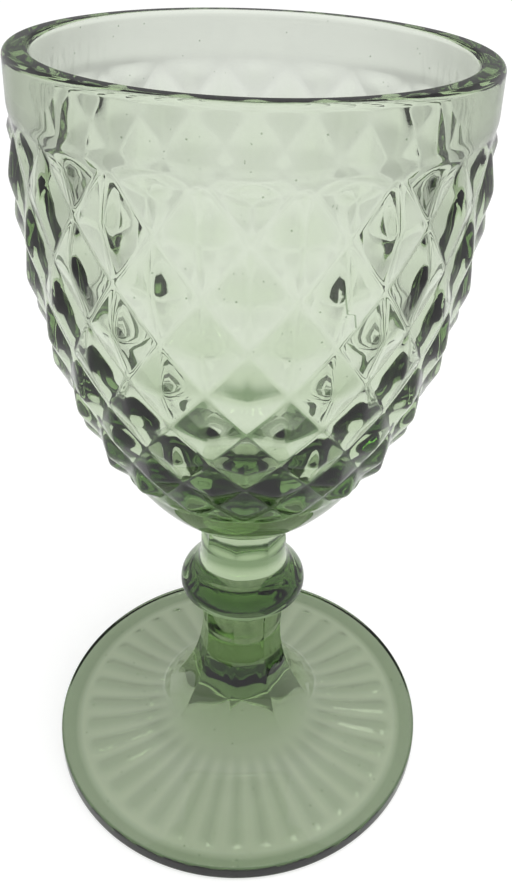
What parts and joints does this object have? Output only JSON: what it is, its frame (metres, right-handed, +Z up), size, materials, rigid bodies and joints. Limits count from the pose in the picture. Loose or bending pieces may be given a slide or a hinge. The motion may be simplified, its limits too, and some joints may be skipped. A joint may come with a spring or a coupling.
{
  "type": "goblet",
  "caption": "Footed drinking goblet of thick pressed green glass: bowl with raised diamond points under a plain rim band, knopped stem, round fluted foot.",
  "frame": {"origin": "centre of the ring that the foot rests on, in the resting plane", "axes": "+Z up along the goblet's axis, from the foot to the rim; -Y is the side that the picture shows"},
  "size_m": [0.0888, 0.088, 0.166],
  "materials": {
    "green_glass": "fire-polished pressed glass, pale green, deeper green where it is thick"
  },
  "bodies": {
    "root": {"bowl": "green_glass", "stem": "green_glass", "foot": "green_glass"}
  },
  "joints": []
}
